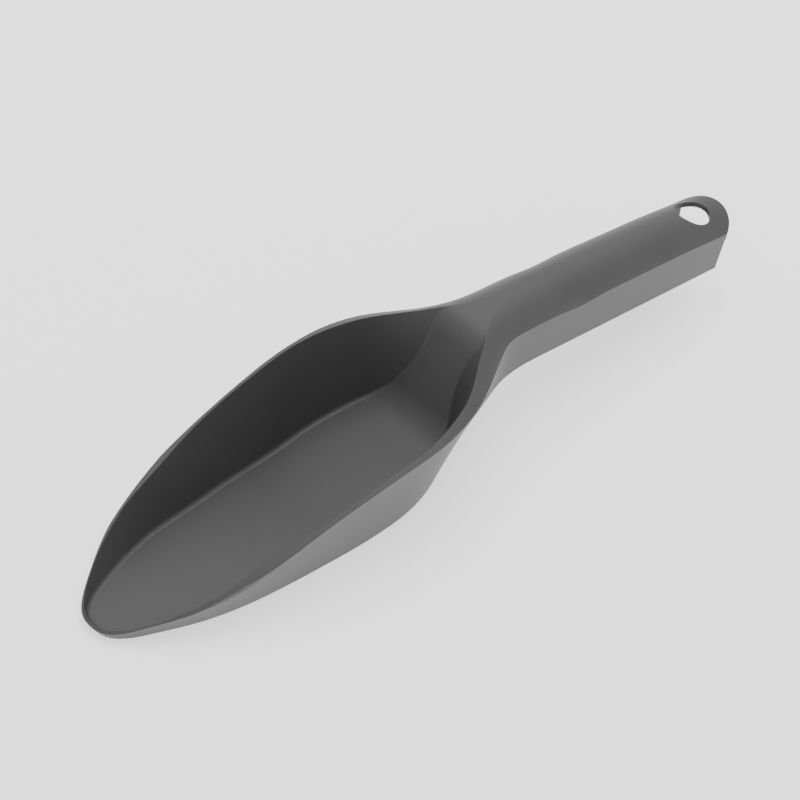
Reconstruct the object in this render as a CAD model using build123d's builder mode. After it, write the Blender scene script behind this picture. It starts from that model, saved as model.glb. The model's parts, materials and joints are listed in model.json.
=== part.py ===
"""Hand trowel moulded in one piece: a deep pointed scoop with a raised lip, a ramp up to
an arched handle, open underneath, and a hanging hole near its end.

Millimetres, +Z up, X along the tool with the tip at -X. The origin is under the middle of
the tool, on the flat underside of the blade. Stations are distances along X from a datum at
the tip, which the lip reaches past by a little.
"""

from build123d import *
from math import sqrt
import os

os.makedirs("parts", exist_ok=True)

# Whole tool
LENGTH = 324.9
LIP_REACH = 1.3
TIP_X = (LIP_REACH - LENGTH) / 2
WALL = 2.2
FLOOR = 2.2
FOOT = -4.0
TOP = 60.0
MIDDLE = 42.0
BEHIND = LENGTH + 10.0
WIDE = 60.0

# Outside walls: outlines at the levels FOOT and TOP, with straight walls between them
BLADE_END = 115.0
HANDLE_START = 212.0
NOSE_FOOT = [(3.5, 0), (7.8, 8.4), (23.0, 15.0)]
SIDE_FOOT = [(23.0, 15.0), (37.0, 19.7), (60.0, 24.0), (90.0, 26.4), (BLADE_END, 27.2)]
NECK_FOOT = [(BLADE_END, 27.2), (135.6, 23.6), (156.0, 13.6), (176.8, 12.0), (HANDLE_START, 11.4)]
NOSE_CENTRE = 9.5
BLADE_TOP = 42.5
NECK_TOP = [(BLADE_END, BLADE_TOP), (135.6, 41.4), (156.0, 34.7), (176.8, 19.2), (HANDLE_START, 15.2)]

# Sharp top edge, at even steps from ahead of the tip to behind the end: half-width, height,
# and the rise from there to the crown
EDGE_MARGIN = 1.2
EDGE_FIRST = -4.0
EDGE_STEP = 20.0
EDGE = [
    (6.0, 1.0, 0.8),
    (19.6, 9.8, 4.4),
    (27.4, 18.3, 6.0),
    (32.2, 25.5, 7.0),
    (35.0, 31.7, 7.8),
    (36.8, 36.7, 8.2),
    (37.8, 40.4, 8.4),
    (36.5, 42.6, 8.5),
    (29.3, 43.8, 8.5),
    (18.5, 44.5, 8.4),
    (15.0, 44.2, 8.0),
    (14.3, 43.1, 7.7),
    (14.2, 41.6, 7.6),
    (14.2, 39.9, 7.5),
    (14.2, 37.9, 7.5),
    (14.2, 35.6, 7.5),
    (14.2, 33.0, 7.5),
    (14.2, 30.1, 7.5),
]
ARCH_FIRST = 6

# Underside of the blade and of the skirts, from the side
FLAT_END = 90.0
SWEEP_END = (146.0, 9.9)
SKIRT_RISE = [SWEEP_END, (156.0, 14.0), (166.5, 19.6), (176.8, 23.8), (190.0, 25.7), (205.0, 25.3)]
SKIRT_END = (BEHIND, 13.3)

# Bowl: outlines at the levels FOOT, MIDDLE and TOP, and its floor and ramp from the side
BOWL_REAR = 206.0
NOSE_IN_FOOT = [(4.8, 0), (9.8, 7.9), (24.4, 13.5)]
SIDE_IN_FOOT = [(24.4, 13.5), (37.0, 17.9), (60.0, 22.2), (90.0, 24.6), (BLADE_END, 25.4)]
NECK_IN_FOOT = [(BLADE_END, 25.4), (135.6, 21.8), (150.0, 13.5), (162.0, 3.0), (180.0, 1.2), (BOWL_REAR, 1.0)]
NOSE_IN_MIDDLE = [(-21.2, 0), (-11.4, 23.2), (13.7, 33.4)]
SIDE_IN_MIDDLE = [(13.7, 33.4), (37.0, 34.9), (60.0, 35.7), (90.0, 36.1), (BLADE_END, 35.9)]
NECK_IN_MIDDLE = [(BLADE_END, 35.9), (135.6, 32.2), (150.0, 26.0), (164.5, 12.6), (172.0, 6.0), (BOWL_REAR, 1.5)]
BOWL_TOP = 41.0
NECK_IN_TOP = [(BLADE_END, BOWL_TOP), (135.6, 36.6), (156.0, 29.0), (170.0, 23.0), (184.0, 11.5), (BOWL_REAR, 5.0)]
FLOOR_CORNERS = [(-20.0, FLOOR), (118.0, FLOOR), (151.8, 14.2), (171.8, 51.6), (BOWL_REAR + 6.0, 52.6)]
FLOOR_RADII = [160.0, 18.0, 14.0]
CREASE = 2.0

# Hollow of the handle
CHANNEL_FRONT = 155.0
NECK_SKIN = 2.8

RAMP_BACK = [(-20.0, 0), (118.8, 0), (153.9, 12.3), (173.6, 49.3), (BOWL_REAR + 6.0, 50.3)]

# Rounded end and hanging hole
END_CENTRE = 313.4
END_HALF_WIDTH = 14.3
SKIRT_CUT = 316.8
SKIRT_LEAN = 1.2
EAVES = 30.5
HOLE_STATION = 307.6
HOLE_RADIUS = 8.0

SIDE_VIEW = Plane(origin=(TIP_X, 0, 0), x_dir=(1, 0, 0), z_dir=(0, -1, 0))


def level(height):
    """Level plane at a height, with its origin above the tip."""
    return Plane(origin=(TIP_X, 0, height))


def cross(station):
    """Plane across the tool at a station."""
    return Plane.YZ.offset(TIP_X + station)


def shrink(points):
    """The same points moved inwards, by a wall on the handle and by more where the neck is oblique."""
    return [(x, y - NECK_SKIN) for x, y in points[:-1]] + [(points[-1][0], points[-1][1] - WALL)]


def grow(points):
    """The same points moved outwards by a wall."""
    return [(x, y + WALL) for x, y in points]


def round_nose(half_width):
    """Points of a quarter circle from the centre line to the side, and of the straight side after it."""
    diagonal = half_width * sqrt(0.5)
    nose = [(NOSE_CENTRE - half_width, 0), (NOSE_CENTRE - diagonal, diagonal), (NOSE_CENTRE, half_width)]
    side = [nose[-1], ((NOSE_CENTRE + BLADE_END) / 2, half_width), (BLADE_END, half_width)]
    return nose, side


def outline(height, nose, side, neck, rear):
    """Closed outline at a height: nose, side, neck and a straight stretch to the rear, on both sides."""
    slope = (side[1][0] - nose[1][0], side[1][1] - nose[1][1])
    half_width = neck[-1][1]
    with BuildSketch(level(height)) as sketch:
        with BuildLine():
            Spline(nose, tangents=[(0, 1), slope])
            Spline(side, tangents=[slope, (1, 0)])
            Spline(neck, tangents=[(1, 0), (1, 0)])
            Line(neck[-1], (rear, half_width))
            Line((rear, half_width), (rear, 0))
            mirror(about=Plane.XZ)
        make_face()
    return sketch.sketch


def neck_outline(height, neck, rear):
    """Closed outline at a height of the neck and the stretch behind it, cut off at the blade's end."""
    front, half_width = neck[0], neck[-1][1]
    with BuildSketch(level(height)) as sketch:
        with BuildLine():
            Line((front[0], 0), front)
            Spline(neck, tangents=[(1, 0), (1, 0)])
            Polyline(neck[-1], (rear, half_width), (rear, 0))
            mirror(about=Plane.XZ)
        make_face()
    return sketch.sketch


def arched_section(place, skin):
    """Upright section with an arched top, a skin below the one through a place on the sharp edge."""
    half_width, height, rise = EDGE[place]
    radius = (half_width**2 + rise**2) / (2 * rise)
    centre = height + rise - radius
    inner = radius - skin
    side = min(half_width - skin + EDGE_MARGIN, 0.97 * inner)
    spring = centre + sqrt(inner**2 - side**2)
    with BuildSketch(cross(EDGE_FIRST + place * EDGE_STEP)) as section:
        with BuildLine():
            Line((-side, spring), (-side, 2 * FOOT))
            Line((-side, 2 * FOOT), (side, 2 * FOOT))
            Line((side, 2 * FOOT), (side, spring))
            ThreePointArc((side, spring), (0, centre + inner), (-side, spring))
        make_face()
    return section.sketch


# Outside of the walls
with BuildPart() as walls:
    foot = outline(FOOT, NOSE_FOOT, SIDE_FOOT, NECK_FOOT, BEHIND)
    top = outline(TOP, *round_nose(BLADE_TOP), NECK_TOP, BEHIND)
    loft(sections=[foot, top], ruled=True)

# Everything below the top surface: arched handle and the slope of the lip
with BuildPart() as below_top:
    loft(sections=[arched_section(place, 0) for place in range(len(EDGE))])

# The same surface one wall lower, from the neck to behind the end
with BuildPart() as below_arch:
    loft(sections=[arched_section(place, WALL) for place in range(ARCH_FIRST, len(EDGE))])

# Open space over the floor and the ramp, from the side
with BuildPart() as above_floor:
    with BuildSketch(SIDE_VIEW):
        with BuildLine():
            FilletPolyline(*FLOOR_CORNERS, radius=FLOOR_RADII)
            Polyline(FLOOR_CORNERS[-1], (FLOOR_CORNERS[-1][0], 1.2 * TOP),
                     (FLOOR_CORNERS[0][0], 1.2 * TOP), FLOOR_CORNERS[0])
        make_face()
    extrude(amount=WIDE, both=True)

# Bowl
with BuildPart() as bowl:
    foot = outline(FOOT, NOSE_IN_FOOT, SIDE_IN_FOOT, NECK_IN_FOOT, BOWL_REAR + 2)
    middle = outline(MIDDLE, NOSE_IN_MIDDLE, SIDE_IN_MIDDLE, NECK_IN_MIDDLE, BOWL_REAR + 2)
    top = outline(TOP, *round_nose(BOWL_TOP), NECK_IN_TOP, BOWL_REAR + 2)
    loft(sections=[foot, middle, top])
    add(above_floor.part, mode=Mode.INTERSECT)
    low = bowl.edges().filter_by(Axis.Y, reverse=True).filter_by(lambda e: e.center().Z < 50)
    fillet(low, radius=CREASE)

# Space under the blade and under the skirts, from the side
with BuildPart() as underside:
    with BuildSketch(SIDE_VIEW):
        with BuildLine():
            Line((-WIDE, 0), (FLAT_END, 0))
            sweep = TangentArc((FLAT_END, 0), SWEEP_END, tangent=(1, 0))
            Spline(SKIRT_RISE, tangents=[sweep % 1, (1, -0.085)])
            Polyline(SKIRT_RISE[-1], SKIRT_END, (BEHIND, 3 * FOOT), (-WIDE, 3 * FOOT), (-WIDE, 0))
        make_face()
    extrude(amount=WIDE, both=True)

# Hollow under the handle and the neck, one wall inside them
with BuildPart() as channel:
    foot = neck_outline(FOOT, shrink(NECK_FOOT), BEHIND)
    top = neck_outline(TOP, shrink(NECK_TOP), BEHIND)
    loft(sections=[foot, top], ruled=True)
    add(below_arch.part, mode=Mode.INTERSECT)
    with BuildSketch(level(2 * FOOT)):
        with Locations(((CHANNEL_FRONT + BEHIND) / 2, 0)):
            Rectangle(BEHIND - CHANNEL_FRONT, 2 * WIDE)
    extrude(amount=2 * TOP, mode=Mode.INTERSECT)

# The bowl grown by one wall on every side, which the hollow stays out of
with BuildPart() as grown_bowl:
    foot = neck_outline(FOOT, grow(NECK_IN_FOOT), BOWL_REAR + 4)
    middle = neck_outline(MIDDLE, grow(NECK_IN_MIDDLE), BOWL_REAR + 4)
    top = neck_outline(TOP, grow(NECK_IN_TOP), BOWL_REAR + 4)
    loft(sections=[foot, middle, top])
    with BuildSketch(SIDE_VIEW):
        with BuildLine():
            ramp = FilletPolyline(*RAMP_BACK, radius=FLOOR_RADII)
            Polyline(RAMP_BACK[-1], (RAMP_BACK[-1][0], 1.2 * TOP), (RAMP_BACK[0][0], 1.2 * TOP), RAMP_BACK[0])
        make_face()
    extrude(amount=WIDE, both=True, mode=Mode.INTERSECT)

# Open space behind the ends of the skirts, under the arch
with BuildPart() as behind_skirts:
    with BuildSketch(SIDE_VIEW):
        with BuildLine():
            Polyline((SKIRT_CUT, EAVES), (SKIRT_CUT, TOP), (BEHIND, TOP), (BEHIND, EAVES), close=True)
        make_face()
    extrude(amount=WIDE, both=True)
    add(below_arch.part, mode=Mode.INTERSECT)
    with BuildSketch(SIDE_VIEW):
        with BuildLine():
            Polyline((SKIRT_CUT - SKIRT_LEAN, 0), (SKIRT_CUT, EAVES), (BEHIND, EAVES), (BEHIND, 0), close=True)
        make_face()
    extrude(amount=WIDE, both=True)

with BuildPart() as trowel:
    add(walls.part)
    add(below_top.part, mode=Mode.INTERSECT)
    add(underside.part, mode=Mode.SUBTRACT)
    add(bowl.part, mode=Mode.SUBTRACT)
    add(channel.part - grown_bowl.part, mode=Mode.SUBTRACT)
    # Rounded end
    with BuildSketch(level(FOOT)):
        with Locations((END_CENTRE / 2 - WIDE, 0)):
            Rectangle(END_CENTRE + 2 * WIDE, 2 * WIDE)
        with Locations((END_CENTRE, 0)):
            Ellipse(LENGTH - END_CENTRE, END_HALF_WIDTH)
    extrude(amount=2 * TOP, mode=Mode.INTERSECT)
    # The skirts stop short of the end
    add(behind_skirts.part, mode=Mode.SUBTRACT)
    # Hanging hole
    with BuildSketch(level(FOOT)):
        with Locations((HOLE_STATION, 0)):
            Circle(HOLE_RADIUS)
    extrude(amount=2 * TOP, mode=Mode.SUBTRACT)

trowel.part.label = "trowel"
export_step(trowel.part, "parts/trowel.step")
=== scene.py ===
"""Looks of a one-piece plastic hand trowel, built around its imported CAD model."""

import json
import logging
import math
from dataclasses import dataclass
from enum import Enum

import bpy
from mathutils import Matrix, Vector

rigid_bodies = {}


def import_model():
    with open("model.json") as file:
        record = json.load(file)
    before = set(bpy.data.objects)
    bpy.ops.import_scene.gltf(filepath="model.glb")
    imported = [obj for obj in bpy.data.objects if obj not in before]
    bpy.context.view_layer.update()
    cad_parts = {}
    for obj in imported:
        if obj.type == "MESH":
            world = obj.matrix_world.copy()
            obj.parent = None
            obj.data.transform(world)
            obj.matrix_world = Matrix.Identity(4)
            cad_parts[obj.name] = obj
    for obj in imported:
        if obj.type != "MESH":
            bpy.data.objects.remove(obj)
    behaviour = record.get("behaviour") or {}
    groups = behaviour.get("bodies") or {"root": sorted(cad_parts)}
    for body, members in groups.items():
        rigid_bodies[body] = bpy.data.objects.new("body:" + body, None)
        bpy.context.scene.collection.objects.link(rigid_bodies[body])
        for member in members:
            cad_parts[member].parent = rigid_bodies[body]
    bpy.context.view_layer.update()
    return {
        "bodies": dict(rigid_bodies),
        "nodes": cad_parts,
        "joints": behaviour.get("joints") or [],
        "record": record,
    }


LOG = logging.getLogger("trowel")


class NodeKind(Enum):
    """Kinds of shader node that the finishes use."""

    COORDINATES = "ShaderNodeTexCoord"
    NOISE = "ShaderNodeTexNoise"
    RAMP = "ShaderNodeValToRGB"
    RANGE = "ShaderNodeMapRange"
    BUMP = "ShaderNodeBump"
    BEVEL = "ShaderNodeBevel"


@dataclass(frozen=True)
class MouldedPlastic:
    """Dark grey polypropylene with a fine spark-eroded texture.

    The colour drifts a little over the moulding, as it does where melt fronts meet, and the
    texture is finer than a fingernail can feel.
    """

    dark: tuple[float, float, float] = (0.050, 0.050, 0.051)
    light: tuple[float, float, float] = (0.057, 0.057, 0.058)
    drift_scale: float = 22.0
    grain_scale: float = 2600.0
    grain_height: float = 0.00002
    grain_strength: float = 0.25
    edge_radius: float = 0.0004
    edge_samples: int = 8
    roughness_low: float = 0.47
    roughness_high: float = 0.53
    ior: float = 1.49

    def make(self) -> bpy.types.Material:
        """Build the material.

        Returns:
            The finished material, with its patterns on Object coordinates.
        """
        material = bpy.data.materials.new("moulded_plastic_dark_grey")
        material.use_nodes = True
        nodes, links = material.node_tree.nodes, material.node_tree.links
        shader = nodes["Principled BSDF"]
        place = nodes.new(NodeKind.COORDINATES.value).outputs["Object"]

        drift = nodes.new(NodeKind.NOISE.value)
        drift.inputs["Scale"].default_value = self.drift_scale
        drift.inputs["Detail"].default_value = 3.0
        links.new(place, drift.inputs["Vector"])
        tone = nodes.new(NodeKind.RAMP.value)
        tone.color_ramp.elements[0].position = 0.3
        tone.color_ramp.elements[0].color = (*self.dark, 1.0)
        tone.color_ramp.elements[1].position = 0.7
        tone.color_ramp.elements[1].color = (*self.light, 1.0)
        links.new(drift.outputs["Fac"], tone.inputs["Fac"])
        links.new(tone.outputs["Color"], shader.inputs["Base Color"])

        grain = nodes.new(NodeKind.NOISE.value)
        grain.inputs["Scale"].default_value = self.grain_scale
        grain.inputs["Detail"].default_value = 2.0
        links.new(place, grain.inputs["Vector"])
        bump = nodes.new(NodeKind.BUMP.value)
        bump.inputs["Strength"].default_value = self.grain_strength
        bump.inputs["Distance"].default_value = self.grain_height
        links.new(grain.outputs["Fac"], bump.inputs["Height"])
        edges = nodes.new(NodeKind.BEVEL.value)
        edges.samples = self.edge_samples
        edges.inputs["Radius"].default_value = self.edge_radius
        links.new(edges.outputs["Normal"], bump.inputs["Normal"])
        links.new(bump.outputs["Normal"], shader.inputs["Normal"])

        gloss = nodes.new(NodeKind.RANGE.value)
        gloss.inputs["To Min"].default_value = self.roughness_low
        gloss.inputs["To Max"].default_value = self.roughness_high
        links.new(drift.outputs["Fac"], gloss.inputs["Value"])
        links.new(gloss.outputs["Result"], shader.inputs["Roughness"])
        shader.inputs["IOR"].default_value = self.ior
        return material


@dataclass
class Trowel:
    """The whole tool: blade, neck and handle in one moulding."""

    node: str = "trowel"
    finish: MouldedPlastic = MouldedPlastic()

    def dress(self, frame: dict) -> bpy.types.Object:
        """Give the CAD node its plastic.


        Returns:
            The CAD node's object.
        """
        piece = frame["nodes"][self.node]
        piece.data.materials.clear()
        piece.data.materials.append(self.finish.make())
        return piece


@dataclass(frozen=True)
class Lamp:
    """One soft area lamp that faces a point near the tool."""

    name: str
    place: tuple[float, float, float]
    width: float
    power: float

    def add(self) -> bpy.types.Object:
        """Add the lamp to the scene and turn it to the tool.

        Returns:
            The lamp's object.
        """
        light = bpy.data.lights.new(self.name, "AREA")
        light.shape = "SQUARE"
        light.size = self.width
        light.energy = self.power
        lamp = bpy.data.objects.new(self.name, light)
        bpy.context.scene.collection.objects.link(lamp)
        lamp.location = self.place
        lamp.rotation_euler = (-Vector(self.place)).to_track_quat("-Z", "Y").to_euler()
        return lamp


@dataclass
class Studio:
    """Pale bright floor, two soft lamps and the camera."""

    floor_half: float = 3.0
    floor_tone: float = 0.9
    floor_glow: float = 1.0
    sky_strength: float = 0.85
    azimuth: float = 48.249
    elevation: float = 42.722
    roll: float = 7.465
    distance: float = 0.74932
    aim_height: float = 0.025
    aim_right: float = -0.01368
    aim_up: float = -0.00592
    lens: float = 88.694
    lamps: tuple[Lamp, ...] = (
        Lamp("over", place=(0.1, 0.1, 1.4), width=1.1, power=12.0),
        Lamp("behind", place=(0.8, 0.7, 1.0), width=0.9, power=3.0),
    )

    def build(self) -> None:
        """Lay the floor, hang the lamps and place the camera."""
        self._lay_floor()
        self._light()
        self._place_camera()

    def _lay_floor(self) -> None:
        """Lay a plain pale floor under the tool."""
        bpy.ops.object.select_all(action="DESELECT")
        bpy.ops.mesh.primitive_plane_add(size=2 * self.floor_half, location=(0, 0, 0))
        floor = bpy.context.object
        floor.name = "studio_floor"
        material = bpy.data.materials.new("pale_floor")
        material.use_nodes = True
        shader = material.node_tree.nodes["Principled BSDF"]
        shader.inputs["Base Color"].default_value = (self.floor_tone,) * 3 + (1.0,)
        shader.inputs["Roughness"].default_value = 0.95
        shader.inputs["Emission Color"].default_value = (1.0, 1.0, 1.0, 1.0)
        shader.inputs["Emission Strength"].default_value = self.floor_glow
        floor.data.materials.append(material)

    def _light(self) -> None:
        """Light the scene from a dim sky and two broad soft lamps."""
        world = bpy.data.worlds.new("pale_sky")
        bpy.context.scene.world = world
        world.use_nodes = True
        background = world.node_tree.nodes["Background"]
        background.inputs["Color"].default_value = (1.0, 1.0, 1.0, 1.0)
        background.inputs["Strength"].default_value = self.sky_strength
        for lamp in self.lamps:
            lamp.add()

    def _place_camera(self) -> None:
        """Place the camera at the viewing angle, with its roll."""
        turn, rise, roll = (math.radians(a) for a in (self.azimuth, self.elevation, self.roll))
        forward = Vector((math.cos(rise) * math.sin(turn), math.cos(rise) * math.cos(turn), -math.sin(rise)))
        level = Vector((math.cos(turn), -math.sin(turn), 0.0))
        upright = level.cross(forward)
        right = math.cos(roll) * level + math.sin(roll) * upright
        up = math.cos(roll) * upright - math.sin(roll) * level
        data = bpy.data.cameras.new("camera")
        data.sensor_width = 36.0
        data.lens = self.lens
        camera = bpy.data.objects.new("camera", data)
        bpy.context.scene.collection.objects.link(camera)
        aim = Vector((0.0, 0.0, self.aim_height)) + self.aim_right * right + self.aim_up * up
        turned = Matrix((right, up, -forward)).transposed().to_4x4()
        camera.matrix_world = Matrix.Translation(aim - self.distance * forward) @ turned
        bpy.context.scene.camera = camera


def main() -> None:
    """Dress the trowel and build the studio."""
    logging.basicConfig(level=logging.INFO, format="%(name)s: %(message)s")
    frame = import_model()
    piece = Trowel().dress(frame)
    LOG.info("%s: %d faces", piece.name, len(piece.data.polygons))
    Studio().build()


if __name__ == "__main__":
    main()
